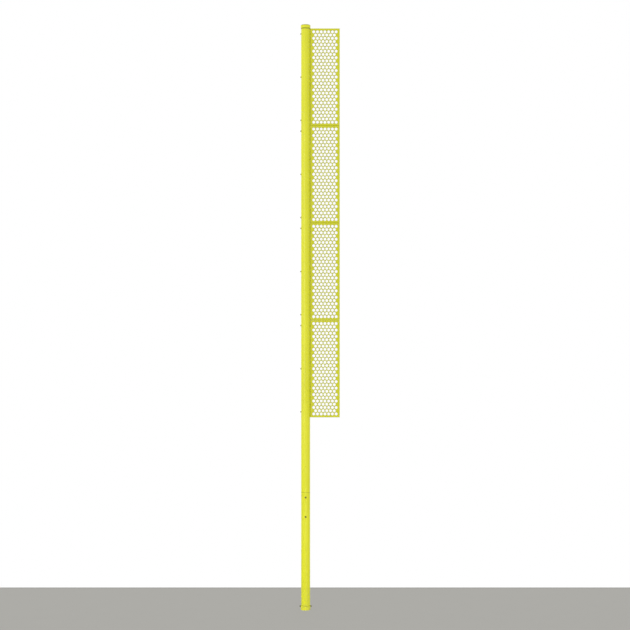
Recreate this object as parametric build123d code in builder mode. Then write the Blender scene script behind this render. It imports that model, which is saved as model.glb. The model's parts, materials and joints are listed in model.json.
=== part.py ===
"""Baseball foul pole with a four-panel mesh wing, standing in a ground sleeve.

Units are millimetres and +Z is up. The origin is on the pole's axis at ground level. The wing stands
out along +X, its perforated sheets face -Y, and the ground sleeve is buried below z = 0.
"""

from build123d import *
from math import cos, radians, sin, sqrt
import os

INCH = 25.4
FOOT = 12 * INCH

# Pole: 5 in nominal steel pipe in two lengths
POLE_RADIUS = 141.3 / 2
POLE_WALL = 6.55
LOWER_LENGTH = 10 * FOOT
UPPER_LENGTH = 24 * FOOT
RIM_CHAMFER = 1.0

# Splice: an inner sleeve, plug-welded in the upper length and bolted in the lower
SPLICE_RADIUS = 2.5 * INCH
SPLICE_WALL = 0.25 * INCH
SPLICE_HALF_LENGTH = 18 * INCH
SPLICE_BOLT_DROPS = (3 * INCH, 15 * INCH)
PLUG_WELD_RISE = 16 * INCH
PLUG_WELD_RADIUS = 9.5
PLUG_WELD_RECESS = 0.6

# Ground sleeve: 6 in tube with a stop ring in its foot. A loose disc lies on the ring, and the pole
# stands and turns on the disc.
SLEEVE_RADIUS = 3 * INCH
SLEEVE_WALL = 0.125 * INCH
SLEEVE_RIM = 2.625 * INCH
SLEEVE_DEPTH = 4 * FOOT
STOP_RING_WIDTH = 0.5 * INCH
STOP_RING_THICKNESS = 0.25 * INCH
FOOT_DISC_THICKNESS = 0.25 * INCH
FOOT_DISC_CLEARANCE = 1.0
DRAIN_RADIUS = 0.5 * INCH

# Cap that slips over the top of the pole
CAP_RADIUS = 3 * INCH
CAP_THICKNESS = 6.0
CAP_SKIRT = 46.0
CAP_CLEARANCE = 0.4
CAP_EDGE_RADIUS = 12.0
CAP_SCREW_ANGLES = (45, 135)

# Wing: four square-tube frames, one above the other, each faced with a perforated sheet
PANEL_COUNT = 4
PANEL_PITCH = 5 * FOOT
PANEL_GAP = 1.0
WING_DROP = 48.0
WING_WIDTH = 18.25 * INCH
WING_CLEARANCE = 0.3
FRAME_TUBE = 1 * INCH
FRAME_WALL = 3.0
FRAME_CORNER_RADIUS = 3.0
PANEL_BOLT_INSET = 85.0

# Perforated sheet: hexagonal holes in staggered rows, a wide row first and last
SHEET_THICKNESS = 1.9
SHEET_INSET = 3.0
HOLE_ACROSS_FLATS = 44.0
HOLE_PITCH = 58.4
ROW_PITCH = HOLE_PITCH * sqrt(3) / 2
WIDE_ROWS = 15
WIDE_ROW_HOLES = 7

# Half-inch hardware
BOLT_RADIUS = 0.25 * INCH
BOLT_LENGTH = 6.5 * INCH
BOLT_HOLE_RADIUS = 9 / 32 * INCH
HEAD_ACROSS_FLATS = 0.75 * INCH
HEAD_HEIGHT = 7.9
NUT_HEIGHT = 11.1
JAM_NUT_HEIGHT = 7.9
THREAD_CLEARANCE = 0.05
WASHER_RADIUS = 13.5
WASHER_THICKNESS = 2.4
WASHER_CHAMFER = 0.4
INSERT_RADIUS = 8.7
INSERT_LENGTH = 18.0
SCREW_RADIUS = 3.2
SCREW_LENGTH = 12.0
SCREW_HEAD_RADIUS = 5.6
SCREW_HEAD_HEIGHT = 3.3
FIT_GAP = 0.1

# Lock bolts, one on each side of the ground sleeve's rim
LOCK_BOLT_HEIGHT = 52.0
LOCK_BOLT_TIP_GAP = 0.3
LOCK_HEAD_STANDOFF = 2.0

# Heights and distances that follow from the sizes above
STOP_RING_TOP = STOP_RING_THICKNESS - SLEEVE_DEPTH
POLE_FOOT = STOP_RING_TOP + FOOT_DISC_THICKNESS
SPLICE_HEIGHT = POLE_FOOT + LOWER_LENGTH
POLE_TOP = SPLICE_HEIGHT + UPPER_LENGTH
WING_TOP = POLE_TOP - WING_DROP
WING_LEFT = POLE_RADIUS + WING_CLEARANCE
WING_RIGHT = WING_LEFT + WING_WIDTH
SLEEVE_BORE = SLEEVE_RADIUS - SLEEVE_WALL
LOCK_HEAD_SEAT = SLEEVE_RADIUS + JAM_NUT_HEIGHT + LOCK_HEAD_STANDOFF
LOCK_BOLT_LENGTH = LOCK_HEAD_SEAT - POLE_RADIUS - LOCK_BOLT_TIP_GAP
CAP_SCREW_HEIGHT = POLE_TOP - CAP_SKIRT / 2
SPLICE_BOLT_HEIGHTS = [SPLICE_HEIGHT - drop for drop in SPLICE_BOLT_DROPS]
PLUG_WELD_HEIGHT = SPLICE_HEIGHT + PLUG_WELD_RISE


def panel_span(number):
    """Bottom and top of one wing panel's frame; panel 1 is the lowest."""
    top = WING_TOP - (PANEL_COUNT - number) * PANEL_PITCH
    return top - PANEL_PITCH + PANEL_GAP / 2, top - PANEL_GAP / 2


def panel_bolt_heights(number):
    """The three bolts of a panel: one near each end and one at the middle."""
    bottom, top = panel_span(number)
    return [bottom + PANEL_BOLT_INSET, (bottom + top) / 2, top - PANEL_BOLT_INSET]


def radial_planes(radius, heights, angles):
    """Planes that stand on a cylinder about the Z axis and face away from it."""
    return [
        Plane(
            origin=(radius * cos(radians(angle)), radius * sin(radians(angle)), height),
            z_dir=(cos(radians(angle)), sin(radians(angle)), 0),
        )
        for height in heights
        for angle in angles
    ]


def save(piece, name):
    """Label a finished piece and write it to its own file, which its node is named after."""
    piece.part.label = name
    export_step(piece.part, f"parts/{name}.step")


# ------------------------------------------------------------------------------- tubes and hardware


def tube(bottom, top, radius, wall, cross_holes=()):
    """An upright round tube with chamfered rims.

    cross_holes lists (plane, heights, hole radius): round holes square to the plane, through both walls.
    """
    with BuildPart() as piece:
        with BuildSketch(Plane.XY.offset(bottom)):
            Circle(radius)
            Circle(radius - wall, mode=Mode.SUBTRACT)
        extrude(amount=top - bottom)
        rims = piece.edges().filter_by(GeomType.CIRCLE).group_by(SortBy.RADIUS)[-1]
        chamfer(rims, length=RIM_CHAMFER)
        for plane, heights, hole_radius in cross_holes:
            with BuildSketch(plane):
                with Locations(*[(0, height) for height in heights]):
                    Circle(hole_radius)
            extrude(amount=radius, both=True, mode=Mode.SUBTRACT)
    return piece


def hexagon_body(height, bore_radius=0.0):
    """A hexagon on the XY plane with its top corners chamfered, as on a bolt head or a nut."""
    with BuildPart() as body:
        with BuildSketch():
            RegularPolygon(HEAD_ACROSS_FLATS / 2, 6, major_radius=False)
        extrude(amount=height)
        with BuildSketch(Plane.XY.offset(height)):
            Circle(0.47 * HEAD_ACROSS_FLATS)
        extrude(amount=-height, taper=-60, mode=Mode.INTERSECT)
        if bore_radius:
            with BuildSketch():
                Circle(bore_radius)
            extrude(amount=height, mode=Mode.SUBTRACT)
    return body


def hex_bolt(length):
    """A hex bolt along Z. The head stands on the XY plane and the shank hangs below it."""
    head = hexagon_body(HEAD_HEIGHT)
    with BuildPart() as bolt:
        add(head)
        with BuildSketch():
            Circle(BOLT_RADIUS)
        extrude(amount=-length)
        chamfer(bolt.faces().sort_by(Axis.Z)[0].edges(), length=1.0)
    return bolt


def washer():
    """A flat washer that stands on the XY plane."""
    with BuildPart() as ring:
        with BuildSketch():
            Circle(WASHER_RADIUS)
            Circle(BOLT_HOLE_RADIUS, mode=Mode.SUBTRACT)
        extrude(amount=WASHER_THICKNESS)
        chamfer(ring.faces().sort_by(Axis.Z)[-1].outer_wire().edges(), length=WASHER_CHAMFER)
    return ring


def threaded_insert():
    """A blind-side insert whose mouth is on the XY plane and whose body hangs below it."""
    with BuildPart() as insert:
        with BuildSketch():
            Circle(INSERT_RADIUS)
            Circle(BOLT_RADIUS + THREAD_CLEARANCE, mode=Mode.SUBTRACT)
        extrude(amount=-INSERT_LENGTH)
    return insert


def button_screw():
    """A button-head screw along Z. The head stands on the XY plane and the shank hangs below it."""
    with BuildPart() as screw:
        with BuildSketch():
            Circle(SCREW_HEAD_RADIUS)
        extrude(amount=SCREW_HEAD_HEIGHT)
        fillet(screw.edges().sort_by(Axis.Z)[-1], radius=0.7 * SCREW_HEAD_HEIGHT)
        with BuildSketch(Plane.XY.offset(SCREW_HEAD_HEIGHT)):
            RegularPolygon(0.35 * SCREW_HEAD_RADIUS, 6)
        extrude(amount=-0.6 * SCREW_HEAD_HEIGHT, mode=Mode.SUBTRACT)
        with BuildSketch():
            Circle(SCREW_RADIUS)
        extrude(amount=-SCREW_LENGTH)
    return screw


def copies(piece, planes):
    """Separate solids of one kind of fastener, one standing on each plane."""
    with BuildPart() as group:
        with Locations(*planes):
            add(piece)
    return group


# ------------------------------------------------------------------------------------ ground sleeve


def build_ground_sleeve():
    lock_bolt_holes = (Plane.YZ, [LOCK_BOLT_HEIGHT], BOLT_HOLE_RADIUS)
    ground_sleeve = tube(-SLEEVE_DEPTH, SLEEVE_RIM, SLEEVE_RADIUS, SLEEVE_WALL, [lock_bolt_holes])
    save(ground_sleeve, "ground_sleeve")

    with BuildPart() as stop_ring:
        with BuildSketch(Plane.XY.offset(-SLEEVE_DEPTH)):
            Circle(SLEEVE_BORE - FIT_GAP)
            Circle(SLEEVE_BORE - STOP_RING_WIDTH, mode=Mode.SUBTRACT)
        extrude(amount=STOP_RING_THICKNESS)
    save(stop_ring, "sleeve_stop_ring")

    with BuildPart() as foot_disc:
        with BuildSketch(Plane.XY.offset(STOP_RING_TOP)):
            Circle(SLEEVE_BORE - FOOT_DISC_CLEARANCE)
            Circle(DRAIN_RADIUS, mode=Mode.SUBTRACT)
        extrude(amount=FOOT_DISC_THICKNESS)
    save(foot_disc, "foot_disc")

    nut = hexagon_body(JAM_NUT_HEIGHT, BOLT_RADIUS + THREAD_CLEARANCE)
    nut_seats = radial_planes(SLEEVE_RADIUS, [LOCK_BOLT_HEIGHT], (0, 180))
    save(copies(nut, nut_seats), "sleeve_lock_nuts")

    bolt = hex_bolt(LOCK_BOLT_LENGTH)
    for side, angle in (("right", 0), ("left", 180)):
        seat = radial_planes(LOCK_HEAD_SEAT, [LOCK_BOLT_HEIGHT], [angle])
        save(copies(bolt, seat), f"lock_bolt_{side}")


# --------------------------------------------------------------------------------- pole and splice


def build_pole():
    splice_bolt_holes = (Plane.XZ, SPLICE_BOLT_HEIGHTS, BOLT_HOLE_RADIUS)
    lower_pole = tube(POLE_FOOT, SPLICE_HEIGHT, POLE_RADIUS, POLE_WALL, [splice_bolt_holes])
    save(lower_pole, "lower_pole")

    panel_numbers = range(1, PANEL_COUNT + 1)
    wing_bolt_heights = [height for number in panel_numbers for height in panel_bolt_heights(number)]
    wing_bolt_holes = (Plane.YZ, wing_bolt_heights, BOLT_HOLE_RADIUS)
    plug_weld_holes = (Plane.XZ, [PLUG_WELD_HEIGHT], PLUG_WELD_RADIUS + FIT_GAP)
    pipe = tube(SPLICE_HEIGHT, POLE_TOP, POLE_RADIUS, POLE_WALL, [wing_bolt_holes, plug_weld_holes])
    with BuildPart() as upper_pole:
        add(pipe)
        with BuildSketch(*radial_planes(0, [CAP_SCREW_HEIGHT], CAP_SCREW_ANGLES)):
            Circle(SCREW_RADIUS + FIT_GAP)
        extrude(amount=POLE_RADIUS, mode=Mode.SUBTRACT)
    save(upper_pole, "upper_pole")

    bottom, top = SPLICE_HEIGHT - SPLICE_HALF_LENGTH, SPLICE_HEIGHT + SPLICE_HALF_LENGTH
    splice_sleeve = tube(bottom, top, SPLICE_RADIUS, SPLICE_WALL, [splice_bolt_holes])
    save(splice_sleeve, "splice_sleeve")

    # each plug fills its hole from the splice sleeve out to just under the pole's face
    with BuildPart() as plug_welds:
        with BuildSketch(Plane.XY.offset(PLUG_WELD_HEIGHT - PLUG_WELD_RADIUS)):
            Circle(POLE_RADIUS - PLUG_WELD_RECESS)
            Circle(SPLICE_RADIUS + FIT_GAP, mode=Mode.SUBTRACT)
        extrude(amount=2 * PLUG_WELD_RADIUS)
        with BuildSketch(Plane.XZ):
            with Locations((0, PLUG_WELD_HEIGHT)):
                Circle(PLUG_WELD_RADIUS)
        extrude(amount=POLE_RADIUS, both=True, mode=Mode.INTERSECT)
    save(plug_welds, "splice_plug_welds")


def build_splice_hardware():
    front_faces = radial_planes(POLE_RADIUS, SPLICE_BOLT_HEIGHTS, [-90])
    back_faces = radial_planes(POLE_RADIUS, SPLICE_BOLT_HEIGHTS, [90])
    save(copies(washer(), front_faces + back_faces), "splice_washers")

    head_seats = radial_planes(POLE_RADIUS + WASHER_THICKNESS, SPLICE_BOLT_HEIGHTS, [-90])
    save(copies(hex_bolt(BOLT_LENGTH), head_seats), "splice_bolts")

    nut = hexagon_body(NUT_HEIGHT, BOLT_RADIUS + THREAD_CLEARANCE)
    nut_seats = radial_planes(POLE_RADIUS + WASHER_THICKNESS, SPLICE_BOLT_HEIGHTS, [90])
    save(copies(nut, nut_seats), "splice_nuts")


def build_cap():
    with BuildPart() as pole_cap:
        with BuildSketch(Plane.XY.offset(POLE_TOP - CAP_SKIRT)):
            Circle(CAP_RADIUS)
        extrude(amount=CAP_SKIRT + CAP_THICKNESS)
        fillet(pole_cap.edges().sort_by(Axis.Z)[-1], radius=CAP_EDGE_RADIUS)
        with BuildSketch(Plane.XY.offset(POLE_TOP - CAP_SKIRT)):
            Circle(POLE_RADIUS + CAP_CLEARANCE)
        extrude(amount=CAP_SKIRT, mode=Mode.SUBTRACT)
        chamfer(pole_cap.edges().sort_by(Axis.Z)[:2].sort_by(SortBy.RADIUS)[-1], length=0.8)
        with BuildSketch(*radial_planes(0, [CAP_SCREW_HEIGHT], CAP_SCREW_ANGLES)):
            Circle(SCREW_RADIUS + FIT_GAP)
        extrude(amount=CAP_RADIUS, mode=Mode.SUBTRACT)
    save(pole_cap, "pole_cap")

    seats = radial_planes(CAP_RADIUS, [CAP_SCREW_HEIGHT], CAP_SCREW_ANGLES)
    save(copies(button_screw(), seats), "cap_screws")


# -------------------------------------------------------------------------------------- wing panels


def frame_member(start, end, length_axis):
    """One mitred square tube of a frame, built on the XZ plane.

    start and end are outer corners of the frame. The tube lies on the left of the line from start to end.
    """
    along = (end - start).normalized()
    inward = Vector(-along.Y, along.X)

    def strip(near, far):
        """The part of the mitred outline between two distances in from the frame's outer edge."""
        return [
            start + (inward + along) * near,
            end + (inward - along) * near,
            end + (inward - along) * far,
            start + (inward + along) * far,
        ]

    with BuildPart() as member:
        with BuildSketch(Plane.XZ):
            Polygon(*strip(0, FRAME_TUBE))
        extrude(amount=FRAME_TUBE / 2, both=True)
        fillet(member.edges().filter_by(length_axis), radius=FRAME_CORNER_RADIUS)
        with BuildSketch(Plane.XZ):
            Polygon(*strip(FRAME_WALL, FRAME_TUBE - FRAME_WALL))
        extrude(amount=FRAME_TUBE / 2 - FRAME_WALL, both=True, mode=Mode.SUBTRACT)
    return member


def build_frame(number):
    bottom, top = panel_span(number)
    corners = {
        "inner_bottom": Vector(WING_LEFT, bottom),
        "outer_bottom": Vector(WING_RIGHT, bottom),
        "outer_top": Vector(WING_RIGHT, top),
        "inner_top": Vector(WING_LEFT, top),
    }
    members = (
        ("bottom_rail", "inner_bottom", "outer_bottom", Axis.X),
        ("outer_stile", "outer_bottom", "outer_top", Axis.Z),
        ("top_rail", "outer_top", "inner_top", Axis.X),
    )
    for name, start, end, axis in members:
        save(frame_member(corners[start], corners[end], axis), f"panel_{number}_{name}")

    stile = frame_member(corners["inner_top"], corners["inner_bottom"], Axis.Z)
    with BuildPart() as inner_stile:
        add(stile)
        with BuildSketch(Plane.YZ.offset(WING_LEFT)):
            with Locations(*[(0, height) for height in panel_bolt_heights(number)]):
                Circle(INSERT_RADIUS + THREAD_CLEARANCE)
        extrude(amount=FRAME_WALL, mode=Mode.SUBTRACT)
    save(inner_stile, f"panel_{number}_inner_stile")


def build_sheet(number):
    bottom, top = panel_span(number)
    centre = ((WING_LEFT + WING_RIGHT) / 2, (bottom + top) / 2)
    hole_grids = [
        GridLocations(HOLE_PITCH, 2 * ROW_PITCH, WIDE_ROW_HOLES, WIDE_ROWS),
        GridLocations(HOLE_PITCH, 2 * ROW_PITCH, WIDE_ROW_HOLES - 1, WIDE_ROWS - 1),
    ]
    with BuildPart() as sheet:
        with BuildSketch(Plane.XZ.offset(FRAME_TUBE / 2)):
            with Locations(centre):
                Rectangle(WING_WIDTH - 2 * SHEET_INSET, top - bottom - 2 * SHEET_INSET)
                for grid in hole_grids:
                    with grid:
                        RegularPolygon(
                            HOLE_ACROSS_FLATS / 2,
                            6,
                            major_radius=False,
                            rotation=30,
                            mode=Mode.SUBTRACT,
                        )
        extrude(amount=SHEET_THICKNESS)
    save(sheet, f"panel_{number}_perforated_sheet")


def build_panel_hardware(number):
    heights = panel_bolt_heights(number)
    save(copies(washer(), radial_planes(POLE_RADIUS, heights, [180])), f"panel_{number}_washers")

    head_seats = radial_planes(POLE_RADIUS + WASHER_THICKNESS, heights, [180])
    save(copies(hex_bolt(BOLT_LENGTH), head_seats), f"panel_{number}_bolts")

    # the inserts' mouths face the pole, flush with the inner stile
    mouths = [Plane(origin=(WING_LEFT, 0, height), z_dir=(-1, 0, 0)) for height in heights]
    save(copies(threaded_insert(), mouths), f"panel_{number}_inserts")


os.makedirs("parts", exist_ok=True)
build_ground_sleeve()
build_pole()
build_splice_hardware()
build_cap()
for panel_number in range(1, PANEL_COUNT + 1):
    build_frame(panel_number)
    build_sheet(panel_number)
    build_panel_hardware(panel_number)
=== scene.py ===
"""The looks of a baseball foul pole with a four-panel mesh wing, built around its CAD frame.

Lengths are metres and +Z is up. The pole's axis meets the ground at the origin, the wing stands
out along +X and its perforated sheets face -Y.
"""

import json
import math

import bmesh
import bpy
from mathutils import Matrix, Vector


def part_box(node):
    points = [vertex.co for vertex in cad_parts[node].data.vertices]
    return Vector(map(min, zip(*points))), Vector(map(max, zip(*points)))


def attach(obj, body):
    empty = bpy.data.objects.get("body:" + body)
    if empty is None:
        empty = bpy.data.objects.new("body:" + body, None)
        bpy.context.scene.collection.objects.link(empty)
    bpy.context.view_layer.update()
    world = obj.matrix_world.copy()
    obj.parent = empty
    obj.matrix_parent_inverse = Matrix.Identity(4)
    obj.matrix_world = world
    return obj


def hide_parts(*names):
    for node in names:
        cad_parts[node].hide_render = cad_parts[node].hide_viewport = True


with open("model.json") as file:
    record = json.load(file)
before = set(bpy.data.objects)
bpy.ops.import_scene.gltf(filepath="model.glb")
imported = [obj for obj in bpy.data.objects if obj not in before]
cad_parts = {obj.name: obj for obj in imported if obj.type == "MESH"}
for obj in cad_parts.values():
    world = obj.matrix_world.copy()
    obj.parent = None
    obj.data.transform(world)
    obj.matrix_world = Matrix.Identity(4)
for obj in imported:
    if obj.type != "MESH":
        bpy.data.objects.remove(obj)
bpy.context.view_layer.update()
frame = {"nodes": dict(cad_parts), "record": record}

MM = 0.001
PANELS = (1, 2, 3, 4)
FRAME_MEMBERS = ("bottom_rail", "outer_stile", "top_rail", "inner_stile")

# Perforated sheets: hexagonal holes in staggered rows, punched from the front
HOLE_ACROSS_FLATS = 44 * MM
HOLE_CORNER_RADIUS = 1.2 * MM
HOLE_PITCH = 58.4 * MM
ROW_PITCH = HOLE_PITCH * math.sqrt(3) / 2
WIDE_ROWS = 15
WIDE_ROW_HOLES = 7
RIM_WIDTH = 2.0 * MM
ROLL_OVER = 0.5 * MM
EDGE_BREAK = 0.25 * MM

# Half-inch hardware
BOLT_RADIUS = 6.35 * MM
THREAD_PITCH = 25.4 / 13 * MM
THREAD_DEPTH = 1.05 * MM
THREAD_LENGTH = 32 * MM
HEAD_ACROSS_FLATS = 19.05 * MM
HEAD_HEIGHT = 7.9 * MM
HEAD_FLAT_RADIUS = 0.465 * HEAD_ACROSS_FLATS
HEAD_EDGE_BREAK = 0.1 * MM
WASHER_FACE = 0.5 * MM
WASHER_FACE_RADIUS = 0.475 * HEAD_ACROSS_FLATS
THREAD_RUN_OUT = 0.3 * MM
SHORTEST_PLAIN_SHANK = 0.2 * MM
HEAD_SEGMENTS = 48
THREAD_SEGMENTS = 24
RINGS_PER_PITCH = 6

# Weld beads
BEAD_STEP = 0.9 * MM
BEAD_SIDES = 8
RIPPLE_STEPS = 3
MITRE_BEAD_RADIUS = 2.4 * MM
MITRE_BEAD_INSET = 3 * MM
CORNER_BEAD_RADIUS = 3.0 * MM
CORNER_BEAD_BACK_GAP = 2 * MM
CORNER_BEAD_FRONT_GAP = 1.5 * MM
STITCH_BEAD_RADIUS = 1.5 * MM
STITCH_LENGTH = 26 * MM
SIDE_STITCHES = 8
END_STITCHES = 3
NUT_BEAD_RADIUS = 2.2 * MM
NUT_BEAD_STAND_OFF = 1.2 * MM
PLUG_BEAD_RADIUS = 1.9 * MM
PLUG_BEAD_PITCH = 1.7 * PLUG_BEAD_RADIUS
PLUG_BEAD_SMALLEST_TURN = 0.5 * MM

# Colours, as linear RGB
OPTIC_YELLOW = (0.750, 0.757, 0.010)
SUN_FADED_YELLOW = (0.790, 0.792, 0.022)
# A darker copy of the pole's yellow: painted shade on the wing's frames, sheets and welds, and on the
# splice's plug welds
SHADED_PANEL_YELLOW = (0.640, 0.646, 0.008)
# Dark olive on the holes' rims and walls: painted shade at the punched edges
HOLE_EDGE_SHADE_OLIVE = (0.120, 0.121, 0.004)
DUST = (0.400, 0.370, 0.200)
# Dark olive for painted shade in corners, under the cap, in the seam and at the sleeve's rim, and for the
# band round the cap's top edge
DARK_OLIVE = (0.110, 0.108, 0.010)
PRIMER_GREY = (0.110, 0.110, 0.105)
BLACK_OXIDE = (0.130, 0.128, 0.032)
WORN_STEEL = (0.340, 0.332, 0.125)
ZINC_LIGHT = (0.560, 0.580, 0.590)
ZINC_DARK = (0.360, 0.375, 0.385)
FLOOR_GREY = (0.402, 0.396, 0.371)
FLOOR_EDGE_GREY = (0.325, 0.320, 0.300)
FLOOR_GLOW = 0.93

# Studio
FLOOR_EDGE = 1.578
FLOOR_EDGE_WIDTH = 0.07
FLOOR_REACH = 40
SURROUND_REACH = 60
SURROUND_DROP = 4 * MM
CAMERA_LENS = 71.42
CAMERA_PLACE = (0.147, -19.6, 4.617)


# ------------------------------------------------------------------------------------ materials


class Shader:
    """A Principled material under construction, with short ways to add nodes to it."""

    def __init__(self, name, **values):
        self.material = bpy.data.materials.new(name)
        self.material.use_nodes = True
        self.tree = self.material.node_tree
        self.surface = self.tree.nodes["Principled BSDF"].inputs
        self.place = self.node("ShaderNodeTexCoord", "Object")
        for socket, value in values.items():
            self.surface[socket.replace("_", " ")].default_value = value

    def feed(self, socket, value):
        """Link another node's output to this socket, or set its value."""
        if isinstance(value, bpy.types.NodeSocket):
            self.tree.links.new(value, socket)
        elif isinstance(value, tuple) and len(value) == 3 and socket.type == "RGBA":
            socket.default_value = (*value, 1)
        else:
            socket.default_value = value

    def node(self, kind, output, inputs=None, **settings):
        """Add one node and return the output that is wanted from it."""
        made = self.tree.nodes.new(kind)
        for name, value in settings.items():
            setattr(made, name, value)
        for name, value in (inputs or {}).items():
            self.feed(made.inputs[name], value)
        return made.outputs[output]

    def noise(self, scale, detail=2.0, stretch=(1, 1, 1)):
        """Noise from 0 to 1. stretch multiplies the scale along each axis."""
        place = self.node("ShaderNodeMapping", "Vector", {"Vector": self.place, "Scale": stretch})
        return self.node("ShaderNodeTexNoise", "Fac", {"Vector": place, "Scale": scale, "Detail": detail})

    def ramp(self, value, start, end, low=0.0, high=1.0):
        """A smooth step from low, where value is at start, to high, where it is at end."""
        inputs = {"Value": value, "From Min": start, "From Max": end, "To Min": low, "To Max": high}
        return self.node("ShaderNodeMapRange", "Result", inputs, interpolation_type="SMOOTHSTEP")

    def mix(self, share, base, layer):
        """base with this share of layer over it."""
        inputs = {0: share, 6: base, 7: layer}
        return self.node("ShaderNodeMix", 2, inputs, data_type="RGBA")

    def times(self, first, second):
        return self.node("ShaderNodeMath", 0, {0: first, 1: second}, operation="MULTIPLY")

    def height(self):
        """Distance above the ground."""
        return self.node("ShaderNodeSeparateXYZ", "Z", {0: self.place})

    def openness(self, reach):
        """1 on an open surface, towards 0 in corners narrower than reach."""
        return self.node("ShaderNodeAmbientOcclusion", "AO", {"Distance": reach}, samples=8)

    def bump(self, height, depth, strength):
        inputs = {"Height": height, "Distance": depth, "Strength": strength}
        self.feed(self.surface["Normal"], self.node("ShaderNodeBump", "Normal", inputs))


def powder_coat(name, colour, faded, dark_bands=()):
    """Semi-gloss powder coat with orange peel, sun fade, rain streaks, chips and painted shade in
    corners.

    The fourth argument lists (bottom, top): heights between which the coat is darkened, as painted shade
    or, at the cap's top edge, as a darker band.
    """
    coat = Shader(name, Coat_Weight=0.15, Coat_Roughness=0.25, Specular_IOR_Level=0.4)
    paint = coat.mix(coat.ramp(coat.noise(0.8), 0.35, 0.65), colour, faded)
    streaks = coat.ramp(coat.noise(1, 4, stretch=(38, 38, 1.1)), 0.52, 0.80, 0, 0.16)
    paint = coat.mix(streaks, paint, DUST)
    patches = coat.ramp(coat.noise(22, 5), 0.40, 0.75, 0, 0.35)
    splash = coat.times(coat.ramp(coat.height(), 0.50, 0.04), patches)
    paint = coat.mix(splash, paint, DUST)
    # Painted shade: darker where ambient occlusion finds corners narrower than 12 mm
    corners = coat.ramp(coat.openness(12 * MM), 0.90, 0.30, 0, 0.20)
    paint = coat.mix(corners, paint, DARK_OLIVE)
    # Dark bands at these heights: painted shade, and the darker band at the cap's top edge
    for bottom, top in dark_bands:
        above = coat.ramp(coat.height(), bottom - 1 * MM, bottom + 1 * MM)
        below = coat.ramp(coat.height(), top + 1 * MM, top - 1 * MM)
        paint = coat.mix(coat.times(coat.times(above, below), 0.6), paint, DARK_OLIVE)
    chips = coat.ramp(coat.noise(70, 3), 0.735, 0.75)
    coat.feed(coat.surface["Base Color"], coat.mix(chips, paint, PRIMER_GREY))
    coat.feed(coat.surface["Roughness"], coat.ramp(coat.noise(14, 3), 0.3, 0.7, 0.34, 0.48))
    coat.bump(coat.noise(420, 2), 0.25 * MM, 0.25)
    return coat.material


def black_hardware():
    """Black oxide steel with worn high spots."""
    steel = Shader("black_hardware", Metallic=0.3, Specular_IOR_Level=0.3)
    wear = steel.ramp(steel.noise(260, 4), 0.50, 0.72, 0, 0.75)
    steel.feed(steel.surface["Base Color"], steel.mix(wear, BLACK_OXIDE, WORN_STEEL))
    steel.feed(steel.surface["Roughness"], steel.ramp(wear, 0, 1, 0.5, 0.34))
    steel.bump(steel.noise(900, 2), 0.1 * MM, 0.3)
    return steel.material


def galvanised_steel():
    """Dull zinc with its spangle."""
    zinc = Shader("galvanised_steel", Metallic=0.85)
    spangle = zinc.node("ShaderNodeTexVoronoi", "Color", {"Vector": zinc.place, "Scale": 90.0})
    tone = zinc.ramp(spangle, 0.2, 0.8)
    zinc.feed(zinc.surface["Base Color"], zinc.mix(tone, ZINC_DARK, ZINC_LIGHT))
    zinc.feed(zinc.surface["Roughness"], zinc.ramp(spangle, 0, 1, 0.38, 0.55))
    zinc.bump(zinc.noise(160, 4), 0.2 * MM, 0.3)
    return zinc.material


def floor_material():
    """Matt grey that glows by most of its own colour, so that it stays even under the soft lights.

    It is darker along its far edge.
    """
    floor = Shader("floor_grey", Roughness=0.9, Specular_IOR_Level=0.1, Emission_Strength=FLOOR_GLOW)
    darker = tuple(0.975 * channel for channel in FLOOR_GREY)
    tone = floor.mix(floor.noise(3, 5), darker, FLOOR_GREY)
    depth = floor.node("ShaderNodeSeparateXYZ", "Y", {0: floor.place})
    edge_start = FLOOR_EDGE - FLOOR_EDGE_WIDTH
    tone = floor.mix(floor.ramp(depth, edge_start, edge_start + 10 * MM), tone, FLOOR_EDGE_GREY)
    floor.feed(floor.surface["Emission Color"], tone)
    dim = tuple((1 - FLOOR_GLOW) * channel for channel in FLOOR_GREY)
    floor.surface["Base Color"].default_value = (*dim, 1)
    return floor.material


def white_surround():
    """The white studio floor round the grey one, as bright as the world."""
    white = Shader("white_surround", Emission_Strength=1.0)
    white.surface["Base Color"].default_value = (0, 0, 0, 1)
    white.surface["Specular IOR Level"].default_value = 0
    white.surface["Emission Color"].default_value = (1, 1, 1, 1)
    return white.material


# Painted shade under the cap, in the splice's seam and at the sleeve's rim; the cap is also darker round
# its top edge
CAP_SKIRT, CAP_TOP = (corner.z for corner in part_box("pole_cap"))
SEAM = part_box("lower_pole")[1].z
SLEEVE_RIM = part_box("ground_sleeve")[1].z
POLE_SHADE_BANDS = [
    (CAP_SKIRT - 16 * MM, CAP_SKIRT),
    (SEAM - 4 * MM, SEAM + 1 * MM),
    (SLEEVE_RIM - 2 * MM, SLEEVE_RIM + 3 * MM),
]
POLE_COAT = powder_coat("yellow_powder_coat_pole", OPTIC_YELLOW, SUN_FADED_YELLOW, POLE_SHADE_BANDS)
CAP_LINES = [(CAP_TOP - 11 * MM, CAP_TOP)]
CAP_COAT = powder_coat("yellow_powder_coat_cap", OPTIC_YELLOW, SUN_FADED_YELLOW, CAP_LINES)
# The panels' coat is the pole's yellow made darker, as painted shade
SHADED_PANEL_COAT = powder_coat("yellow_powder_coat_panel_shaded", SHADED_PANEL_YELLOW, SHADED_PANEL_YELLOW)
HOLE_EDGE_SHADE_COAT = powder_coat("hole_edge_painted_shade", HOLE_EDGE_SHADE_OLIVE, HOLE_EDGE_SHADE_OLIVE)
BLACK = black_hardware()
ZINC = galvanised_steel()


# --------------------------------------------------------------------------------- mesh helpers


def ring(bm, points):
    return [bm.verts.new(point) for point in points]


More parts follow.
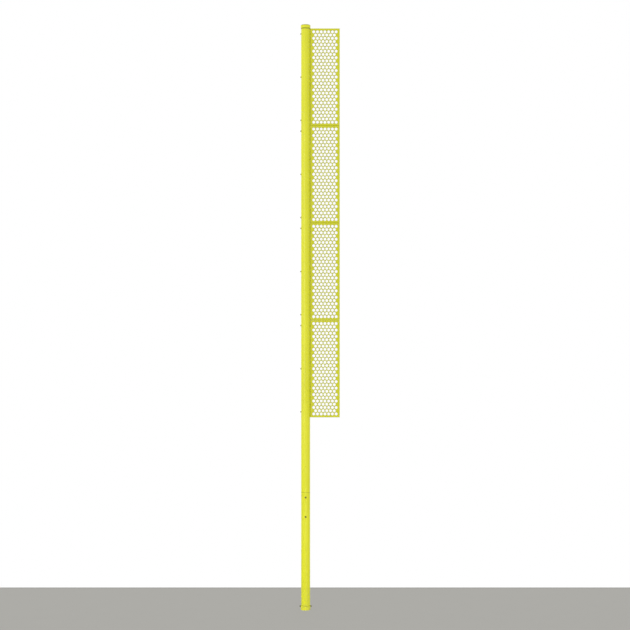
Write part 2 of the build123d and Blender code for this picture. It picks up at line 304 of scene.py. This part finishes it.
def bridge(bm, first, second, material_index=0):
    """A closed band of quads between two rings with as many points each."""
    for i in range(len(first)):
        quad = (first[i - 1], first[i], second[i], second[i - 1])
        bm.faces.new(quad).material_index = material_index


def skin(bm, rings, closed_ends=True):
    """One surface through a row of rings."""
    for first, second in zip(rings, rings[1:]):
        bridge(bm, first, second)
    if closed_ends:
        bm.faces.new(rings[0])
        bm.faces.new(rings[-1])


def make_piece(bm, name, materials, body, sharp=35, replaced=()):
    """Turn a finished bmesh into a piece that rides on a body of the frame."""
    bmesh.ops.recalc_face_normals(bm, faces=bm.faces)
    for face in bm.faces:
        face.smooth = True
    for edge in bm.edges:
        edge.smooth = not edge.is_manifold or edge.calc_face_angle() < math.radians(sharp)
    mesh = bpy.data.meshes.new(name)
    bm.to_mesh(mesh)
    bm.free()
    for material in materials:
        mesh.materials.append(material)
    piece = bpy.data.objects.new(name, mesh)
    bpy.context.scene.collection.objects.link(piece)
    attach(piece, body)
    if replaced:
        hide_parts(*replaced)


# ----------------------------------------------------------------------------- perforated sheets


def hexagon_outline(centre, growth):
    """A hole's outline with rounded corners, one of them at the top, grown by a distance."""
    radius = HOLE_CORNER_RADIUS + growth
    reach = (HOLE_ACROSS_FLATS / 2 - HOLE_CORNER_RADIUS) / math.cos(math.radians(30))
    outline = []
    for corner in range(6):
        direction = math.radians(90 + 60 * corner)
        for turn in (-30, 0, 30):
            facing = direction + math.radians(turn)
            x = reach * math.cos(direction) + radius * math.cos(facing)
            z = reach * math.sin(direction) + radius * math.sin(facing)
            outline.append((centre[0] + x, centre[1] + z))
    return outline


def rectangle_outline(low, high, shrink):
    x0, z0, x1, z1 = low.x + shrink, low.z + shrink, high.x - shrink, high.z - shrink
    return [(x0, z0), (x1, z0), (x1, z1), (x0, z1)]


def hole_centres(low, high):
    """The wide rows' holes, and between them those of the rows with one hole fewer."""
    middle = ((low.x + high.x) / 2, (low.z + high.z) / 2)
    for fewer in (0, 1):
        columns, rows = WIDE_ROW_HOLES - fewer, WIDE_ROWS - fewer
        for column in range(columns):
            for row in range(rows):
                x = middle[0] + (column - (columns - 1) / 2) * HOLE_PITCH
                z = middle[1] + (row - (rows - 1) / 2) * 2 * ROW_PITCH
                yield x, z


def perforated_sheet(number):
    """One panel's sheet. Each punched edge rolls over at the front; its rim and wall are dark olive,
    painted shade at the hole's edge.

    Its walls are the sheet's own outline, in the first material, and the holes', in the second.
    """
    node = f"panel_{number}_perforated_sheet"
    low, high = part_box(node)
    front, back = low.y, high.y
    edge_profile = (
        (EDGE_BREAK, front),
        (0, front + EDGE_BREAK),
        (0, back - EDGE_BREAK),
        (EDGE_BREAK, back),
    )
    hole_profile = (
        (RIM_WIDTH, front),
        (ROLL_OVER, front),
        (0.3 * ROLL_OVER, front + 0.3 * ROLL_OVER),
        (0, front + ROLL_OVER),
        (0, back - EDGE_BREAK),
        (EDGE_BREAK, back),
    )
    bm = bmesh.new()
    walls = [[(rectangle_outline(low, high, shrink), y) for shrink, y in edge_profile]]
    for centre in hole_centres(low, high):
        walls.append([(hexagon_outline(centre, growth), y) for growth, y in hole_profile])
    front_edges, back_edges = [], []
    for wall in walls:
        rings = [ring(bm, [(x, y, z) for x, z in outline]) for outline, y in wall]
        material_index = 0 if wall is walls[0] else 1
        for first, second in zip(rings, rings[1:]):
            bridge(bm, first, second, material_index)
        for edges, loop in ((front_edges, rings[0]), (back_edges, rings[-1])):
            edges += [bm.edges.get((loop[i - 1], loop[i])) for i in range(len(loop))]
    for edges in (front_edges, back_edges):
        bmesh.ops.triangle_fill(bm, edges=edges, use_beauty=True)
    make_piece(bm, f"panel_{number}_sheet_detail", [SHADED_PANEL_COAT, HOLE_EDGE_SHADE_COAT], "pole",
               replaced=[node])


# ------------------------------------------------------------------------------------- hardware


def circle(radius, height, segments):
    """A ring of points about Z. radius is a number, or a function of the angle."""
    angles = [math.tau * i / segments for i in range(segments)]
    radii = [radius(angle) if callable(radius) else radius for angle in angles]
    heights = [height(angle) if callable(height) else height for angle in angles]
    return [Vector((r * math.cos(a), r * math.sin(a), h)) for r, a, h in zip(radii, angles, heights)]


def hexagon_radius(angle):
    """From the bolt's axis to the side of its head, in this direction."""
    return HEAD_ACROSS_FLATS / 2 / math.cos((angle + math.pi / 6) % (math.pi / 3) - math.pi / 6)


def chamfer_height(angle):
    """Where the cone that trims a bolt head's corners meets its side."""
    return HEAD_HEIGHT - (hexagon_radius(angle) - HEAD_FLAT_RADIUS) * math.tan(math.radians(30))


def thread_rings(top, bottom):
    """Rings down a thread, each point in or out by its place on the helix."""
    step = THREAD_PITCH / RINGS_PER_PITCH
    rings = []
    for i in range(round((top - bottom) / step) + 1):
        height = top - i * step

        def radius(angle):
            turn = (height / THREAD_PITCH + angle / math.tau) % 1
            fade = min(1, (height - bottom) / THREAD_PITCH)
            return BOLT_RADIUS - THREAD_DEPTH * (1 - fade * (1 - abs(2 * turn - 1)))

        rings.append(circle(radius, height, THREAD_SEGMENTS))
    return rings


def add_bolt(bm, seat, axis, length):
    """A hex bolt whose head stands on seat and points along axis. Its shank goes the other way."""
    place = Matrix.Translation(seat) @ axis.to_track_quat("Z", "Y").to_matrix().to_4x4()
    head = [
        circle(0.97 * HEAD_FLAT_RADIUS, HEAD_HEIGHT, HEAD_SEGMENTS),
        circle(HEAD_FLAT_RADIUS, HEAD_HEIGHT - HEAD_EDGE_BREAK, HEAD_SEGMENTS),
        circle(hexagon_radius, chamfer_height, HEAD_SEGMENTS),
        circle(hexagon_radius, WASHER_FACE, HEAD_SEGMENTS),
        circle(WASHER_FACE_RADIUS, WASHER_FACE, HEAD_SEGMENTS),
        circle(WASHER_FACE_RADIUS, 0, HEAD_SEGMENTS),
    ]
    shank_end = -max(SHORTEST_PLAIN_SHANK, length - THREAD_LENGTH)
    shank = [circle(BOLT_RADIUS, height, THREAD_SEGMENTS) for height in (0, shank_end)]
    shank += thread_rings(shank_end - THREAD_RUN_OUT, -length)
    for part in (head, shank):
        skin(bm, [ring(bm, [place @ point for point in points]) for points in part])


def seats_of(node, count):
    """Heights of a column of fasteners in one node: the lowest, the highest, and those between."""
    low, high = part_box(node)
    bottom, top = low.z + HEAD_ACROSS_FLATS / 2, high.z - HEAD_ACROSS_FLATS / 2
    return [bottom + (top - bottom) * i / (count - 1) for i in range(count)]


def wing_bolts(number):
    node = f"panel_{number}_bolts"
    low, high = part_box(node)
    seat = low.x + HEAD_HEIGHT
    bm = bmesh.new()
    for height in seats_of(node, 3):
        add_bolt(bm, Vector((seat, 0, height)), Vector((-1, 0, 0)), high.x - seat)
    make_piece(bm, f"panel_{number}_threaded_bolts", [BLACK], "pole", replaced=[node])


def splice_bolts():
    low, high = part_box("splice_bolts")
    seat = low.y + HEAD_HEIGHT
    bm = bmesh.new()
    for height in seats_of("splice_bolts", 2):
        add_bolt(bm, Vector((0, seat, height)), Vector((0, -1, 0)), high.y - seat)
    make_piece(bm, "splice_threaded_bolts", [BLACK], "pole", replaced=["splice_bolts"])


def lock_bolt(side, direction):
    """A lock bolt of the ground sleeve, threaded all the way."""
    node = f"lock_bolt_{side}"
    low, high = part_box(node)
    length = high.x - low.x - HEAD_HEIGHT
    seat = (low.x + HEAD_HEIGHT) if direction < 0 else (high.x - HEAD_HEIGHT)
    bm = bmesh.new()
    add_bolt(bm, Vector((seat, 0, (low.z + high.z) / 2)), Vector((direction, 0, 0)), length)
    make_piece(bm, f"{node}_threaded", [BLACK], node, replaced=[node])


# ---------------------------------------------------------------------------------- weld beads


def straight(start, end):
    """Points along a line, a bead step apart."""
    steps = max(2, round((end - start).length / BEAD_STEP))
    return [start.lerp(end, i / steps) for i in range(steps + 1)]


def add_bead(bm, path, normals, radius, closed=False):
    """A flattened, rippled bead along a path on a surface, its ends tapered unless it is closed."""
    rings = []
    for i, point in enumerate(path):
        before = path[i - 1] if i or closed else path[0]
        after = path[(i + 1) % len(path)] if closed or i < len(path) - 1 else path[-1]
        across = (after - before).cross(normals[i]).normalized()
        taper = 1 if closed else math.sqrt(min(1, 0.3 + 0.35 * min(i, len(path) - 1 - i)))
        size = radius * taper * (1 - 0.16 * (i % RIPPLE_STEPS) / RIPPLE_STEPS)
        section = []
        for side in range(BEAD_SIDES):
            angle = math.tau * side / BEAD_SIDES
            section.append(point + size * (across * math.cos(angle) + 0.5 * normals[i] * math.sin(angle)))
        rings.append(ring(bm, section))
    if closed:
        rings.append(rings[0])
    skin(bm, rings, closed_ends=not closed)


def frame_welds(number):
    """The mitre welds at a panel frame's corners: across the back face and down the inside corner."""
    low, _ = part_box(f"panel_{number}_bottom_rail")
    _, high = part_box(f"panel_{number}_top_rail")
    tube = high.y - low.y
    back = high.y
    middle = (low + high) / 2
    bm = bmesh.new()
    for x in (low.x, high.x):
        for z in (low.z, high.z):
            inward = Vector((math.copysign(1, middle.x - x), 0, math.copysign(1, middle.z - z)))
            outer = Vector((x, back, z)) + inward * MITRE_BEAD_INSET
            inner = Vector((x, back, z)) + inward * tube
            path = straight(outer, inner)
            add_bead(bm, path, [Vector((0, 1, 0))] * len(path), MITRE_BEAD_RADIUS)
            front_end = Vector((inner.x, low.y + CORNER_BEAD_FRONT_GAP, inner.z))
            path = straight(inner - Vector((0, CORNER_BEAD_BACK_GAP, 0)), front_end)
            add_bead(bm, path, [inward.normalized()] * len(path), CORNER_BEAD_RADIUS)
    make_piece(bm, f"panel_{number}_frame_welds", [SHADED_PANEL_COAT], "pole", sharp=80)


def sheet_welds(number):
    """Stitch welds between a sheet's edges and its frame."""
    low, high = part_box(f"panel_{number}_perforated_sheet")
    y = (low.y + high.y) / 2
    half = STITCH_LENGTH / 2
    bm = bmesh.new()
    stitches = []
    for i in range(SIDE_STITCHES):
        z = low.z + (high.z - low.z) * (i + 0.5) / SIDE_STITCHES
        for x, side in ((low.x, -1), (high.x, 1)):
            stitches.append((Vector((x, y, z)), Vector((0, 0, half)), Vector((side, 0, 0))))
    for i in range(END_STITCHES):
        x = low.x + (high.x - low.x) * (i + 0.5) / END_STITCHES
        for z, side in ((low.z, -1), (high.z, 1)):
            stitches.append((Vector((x, y, z)), Vector((half, 0, 0)), Vector((0, 0, side))))
    for centre, reach, outward in stitches:
        path = straight(centre - reach, centre + reach)
        normal = (outward + Vector((0, -1, 0))).normalized()
        add_bead(bm, path, [normal] * len(path), STITCH_BEAD_RADIUS)
    make_piece(bm, f"panel_{number}_sheet_welds", [SHADED_PANEL_COAT], "pole", sharp=80)


def on_cylinder(radius, across, height, facing):
    """A point on an upright cylinder and its normal. facing is the middle's direction from the axis."""
    angle = math.atan2(facing.y, facing.x) + across / radius
    normal = Vector((math.cos(angle), math.sin(angle), 0))
    return normal * radius + Vector((0, 0, height)), normal


def lock_nut_welds():
    """A fillet weld round each lock nut on the ground sleeve."""
    low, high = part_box("sleeve_lock_nuts")
    middle = (low.z + high.z) / 2
    sleeve_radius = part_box("ground_sleeve")[1].x
    orbit = HEAD_ACROSS_FLATS / 2 + NUT_BEAD_STAND_OFF
    steps = round(math.tau * orbit / BEAD_STEP / RIPPLE_STEPS) * RIPPLE_STEPS
    bm = bmesh.new()
    for side in (-1, 1):
        path, normals = [], []
        for i in range(steps):
            angle = math.tau * i / steps
            across = orbit * math.cos(angle)
            height = middle + orbit * math.sin(angle)
            point, normal = on_cylinder(sleeve_radius, across, height, Vector((side, 0, 0)))
            path.append(point)
            normals.append(normal)
        add_bead(bm, path, normals, NUT_BEAD_RADIUS, closed=True)
    make_piece(bm, "lock_nut_welds", [POLE_COAT], "ground_sleeve", sharp=80)


def plug_weld_beads():
    """The spiral that fills each plug weld of the splice, just under the pole's face."""
    low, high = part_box("splice_plug_welds")
    widest_turn = (high.z - low.z) / 2 - PLUG_BEAD_RADIUS
    middle = (low.z + high.z) / 2
    bm = bmesh.new()
    for side in (-1, 1):
        path, normals = [], []
        angle = 0.0
        reach = widest_turn
        while reach > PLUG_BEAD_SMALLEST_TURN:
            across = reach * math.cos(angle)
            height = middle + reach * math.sin(angle)
            point, normal = on_cylinder(high.y, across, height, Vector((0, side, 0)))
            path.append(point)
            normals.append(normal)
            angle += BEAD_STEP / max(reach, 2 * MM)
            reach = widest_turn - PLUG_BEAD_PITCH * angle / math.tau
        add_bead(bm, path, normals, PLUG_BEAD_RADIUS * 0.9)
    # The darker panel coat on these beads is painted shade
    make_piece(bm, "plug_weld_beads", [SHADED_PANEL_COAT], "pole", sharp=80)


# -------------------------------------------------------------------------- floor, light, camera


def floor_sheet(name, low_x, low_y, high_x, high_y, height, material):
    """A rectangular floor with a round hole for the ground sleeve."""
    hole_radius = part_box("ground_sleeve")[1].x - 1 * MM
    corners = [(low_x, low_y), (high_x, low_y), (high_x, high_y), (low_x, high_y)]
    angles = [math.tau * i / 64 for i in range(64)] + [math.atan2(y, x) % math.tau for x, y in corners]
    inner, outer = [], []
    for angle in sorted(set(angles)):
        c, s = math.cos(angle), math.sin(angle)
        reach_x = (high_x if c > 0 else low_x) / c if abs(c) > 1e-9 else math.inf
        reach_y = (high_y if s > 0 else low_y) / s if abs(s) > 1e-9 else math.inf
        reach = min(reach_x, reach_y)
        inner.append((hole_radius * c, hole_radius * s, height))
        outer.append((reach * c, reach * s, height))
    bm = bmesh.new()
    bridge(bm, ring(bm, inner), ring(bm, outer))
    mesh = bpy.data.meshes.new(name)
    bm.to_mesh(mesh)
    bm.free()
    mesh.materials.append(material)
    floor = bpy.data.objects.new(name, mesh)
    bpy.context.scene.collection.objects.link(floor)


def area_light(name, place, target, width, height, power, spread=180):
    """A rectangular light that faces target and isn't itself seen. spread is in degrees."""
    data = bpy.data.lights.new(name, "AREA")
    data.spread = math.radians(spread)
    data.shape = "RECTANGLE"
    data.size, data.size_y = width, height
    data.energy = power
    light = bpy.data.objects.new(name, data)
    light.location = place
    light.rotation_euler = (Vector(target) - Vector(place)).to_track_quat("-Z", "Y").to_euler()
    light.visible_camera = False
    bpy.context.scene.collection.objects.link(light)


def studio():
    """A white world, one large soft light from the front left, a small low one and the two floors."""
    world = bpy.data.worlds.new("white_studio")
    world.use_nodes = True
    world.node_tree.nodes["Background"].inputs["Color"].default_value = (1, 1, 1, 1)
    world.node_tree.nodes["Background"].inputs["Strength"].default_value = 1.0
    bpy.context.scene.world = world
    bpy.context.scene.view_settings.view_transform = "Standard"
    area_light("key_light", (-10, -15.5, 6), (0, 0, 3.5), width=7, height=9, power=760)
    area_light("low_fill", (1, -5, 1), (0, 0, 0.7), width=3, height=1.2, power=12, spread=100)
    near, far = -FLOOR_REACH, FLOOR_REACH
    floor_sheet("grey_floor", near, near, far, FLOOR_EDGE, 0, floor_material())
    near, far = -SURROUND_REACH, SURROUND_REACH
    floor_sheet("white_floor", near, near, far, far, -SURROUND_DROP, white_surround())


def camera():
    """Level and square to the wing, a little over half way up the pole."""
    data = bpy.data.cameras.new("camera")
    data.lens = CAMERA_LENS
    data.sensor_width = 36
    data.clip_end = 200
    view = bpy.data.objects.new("camera", data)
    view.location = CAMERA_PLACE
    view.rotation_euler = (math.radians(90), 0, 0)
    bpy.context.scene.collection.objects.link(view)
    bpy.context.scene.camera = view


# --------------------------------------------------------------------------------- putting it on


def dress_cad_nodes():
    """Give every CAD node the material of its slot, or a coat of its own."""
    # The wing's frames and the splice's plug welds take the darker panel coat, which is painted shade
    own = {f"panel_{n}_{member}": SHADED_PANEL_COAT for n in PANELS for member in FRAME_MEMBERS}
    own["pole_cap"] = CAP_COAT
    own["splice_plug_welds"] = SHADED_PANEL_COAT
    slots = {part["node"]: part["material_slot"] for part in frame["record"]["subparts"]}
    by_slot = {"yellow_powder_coat": POLE_COAT, "black_hardware": BLACK, "galvanised_steel": ZINC}
    for name, node in frame["nodes"].items():
        material = own.get(name, by_slot[slots[name]])
        for slot in node.material_slots:
            slot.material = material


camera()
studio()
dress_cad_nodes()
for number in PANELS:
    perforated_sheet(number)
    wing_bolts(number)
    frame_welds(number)
    sheet_welds(number)
splice_bolts()
lock_bolt("left", -1)
lock_bolt("right", 1)
lock_nut_welds()
plug_weld_beads()
